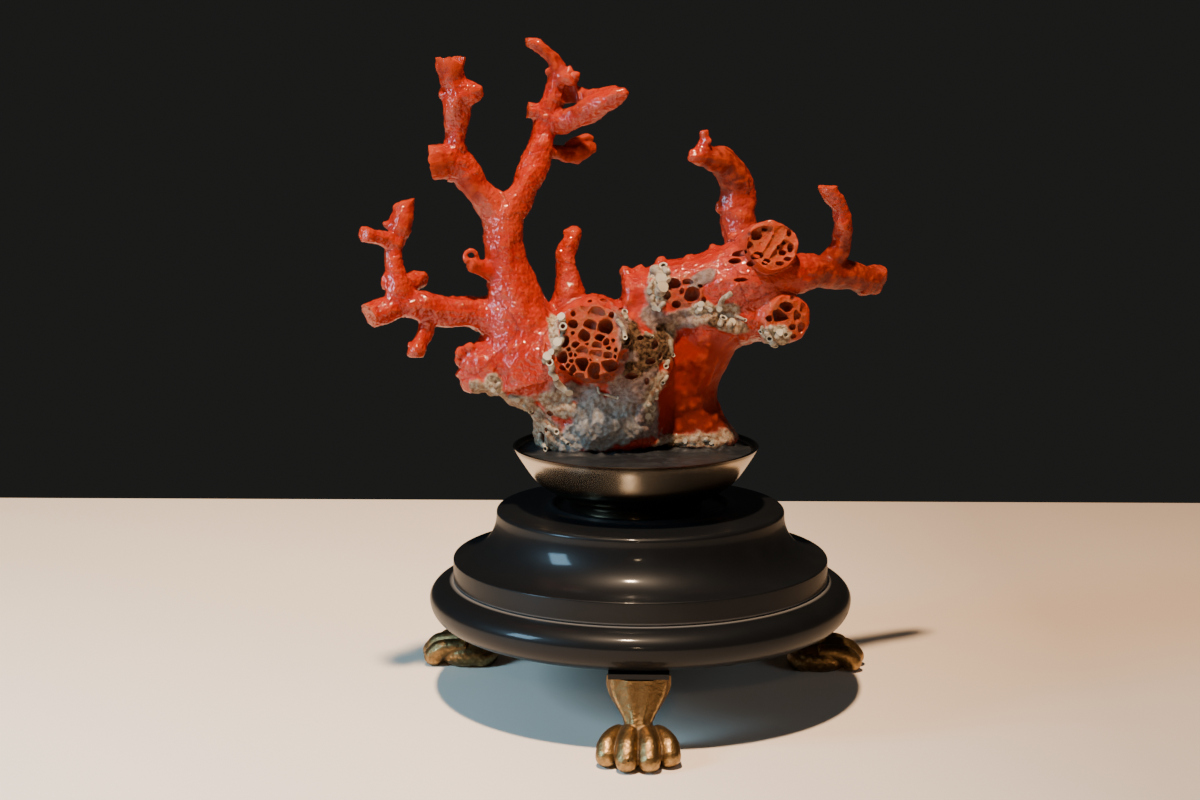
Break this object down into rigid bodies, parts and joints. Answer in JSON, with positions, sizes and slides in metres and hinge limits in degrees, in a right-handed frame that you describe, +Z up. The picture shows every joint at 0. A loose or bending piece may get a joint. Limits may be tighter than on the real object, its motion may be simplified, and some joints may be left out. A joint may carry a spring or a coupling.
{
  "type": "red coral branch",
  "caption": "Red coral colony with spreading branches and a bored, crusted base, set in a shallow metal cup on a turned black wooden stand with lion-paw feet.",
  "frame": {"origin": "on the ground, under the middle of the bounding box; the stand's own axis is 4 mm to +X and 7 mm to +Y of it", "axes": "+Z up, -Y towards the viewer with one foot in front, +X to the viewer's right"},
  "size_m": [0.1718, 0.1541, 0.2162],
  "materials": {
    "red_coral": "glossy, finely striated, crusted at the base",
    "gilt_metal": "worn satin with a pale rim",
    "black_filling": "matt black wax or cement",
    "ebonised_wood": "black stain under gloss polish",
    "cast_bronze": "old cast, rubbed bright on the high places"
  },
  "bodies": {
    "root": {"coral_base": "red_coral", "coral_trunk": "red_coral", "coral_upper_left_branch": "red_coral", "coral_upper_right_branch": "red_coral", "coral_left_branch": "red_coral", "coral_spike": "red_coral", "coral_horn_branch": "red_coral", "coral_right_branch": "red_coral", "cup": "gilt_metal", "cup_fill": "black_filling", "plinth": "ebonised_wood", "lower_moulding": "ebonised_wood", "front_foot_block": "ebonised_wood", "front_foot": "cast_bronze", "left_foot_block": "ebonised_wood", "left_foot": "cast_bronze", "right_foot_block": "ebonised_wood", "right_foot": "cast_bronze"}
  },
  "joints": []
}
